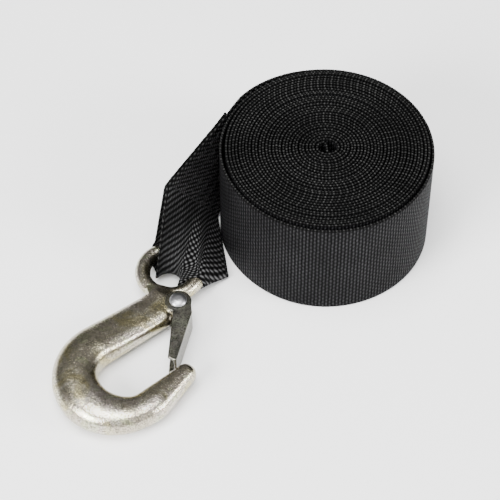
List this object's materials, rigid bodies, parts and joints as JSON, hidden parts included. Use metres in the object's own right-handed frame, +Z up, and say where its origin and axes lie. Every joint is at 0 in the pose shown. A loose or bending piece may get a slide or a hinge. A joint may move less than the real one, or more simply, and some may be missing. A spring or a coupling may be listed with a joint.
{
  "type": "winch strap",
  "caption": "Winch strap: 50 mm black webbing in a roll standing on its edge, with a sewn end loop holding a forged zinc-plated hook with a sprung latch.",
  "frame": {"origin": "On the floor under the middle of the whole part's box. The roll stands on its edge at +X +Y of it, and the hook lies at -X -Y.", "axes": "+Z up, along the roll's axis; +X to the right and +Y away from the viewer of the picture; the hook's bowl points to -Y and a little to -X."},
  "size_m": [0.1546, 0.1542, 0.0508],
  "materials": {
    "black_webbing": "woven polyester webbing, black, slightly shiny yarns",
    "zinc_forging": "forged steel, zinc plated with a pale yellow passivation, fine hammered grain",
    "latch_sheet": "pressed sheet steel, zinc plated, darker and duller than the hook",
    "rivet_steel": "bright zinc plated rivet head",
    "spring_wire": "dull plated spring wire"
  },
  "bodies": {
    "strap": {"webbing": "black_webbing"},
    "hook": {"hook_body": "zinc_forging", "latch_rivet": "rivet_steel", "latch_spring": "spring_wire"},
    "latch": {"latch": "latch_sheet"}
  },
  "joints": [
    {"name": "hook_swing", "type": "hinge", "parent": "strap", "child": "hook", "pos_m": [-0.03098, 0.00239, 0.007], "axis": [0, 0, -1], "range_deg": [0, 50]},
    {"name": "latch_pivot", "type": "hinge", "parent": "hook", "child": "latch", "pos_m": [-0.02729, -0.017, 0.007], "axis": [0, 0, -1], "range_deg": [0, 35], "stiffness_Nm_per_rad": 0.02, "springref_deg": -34.38, "deforming": ["latch_spring"]}
  ]
}
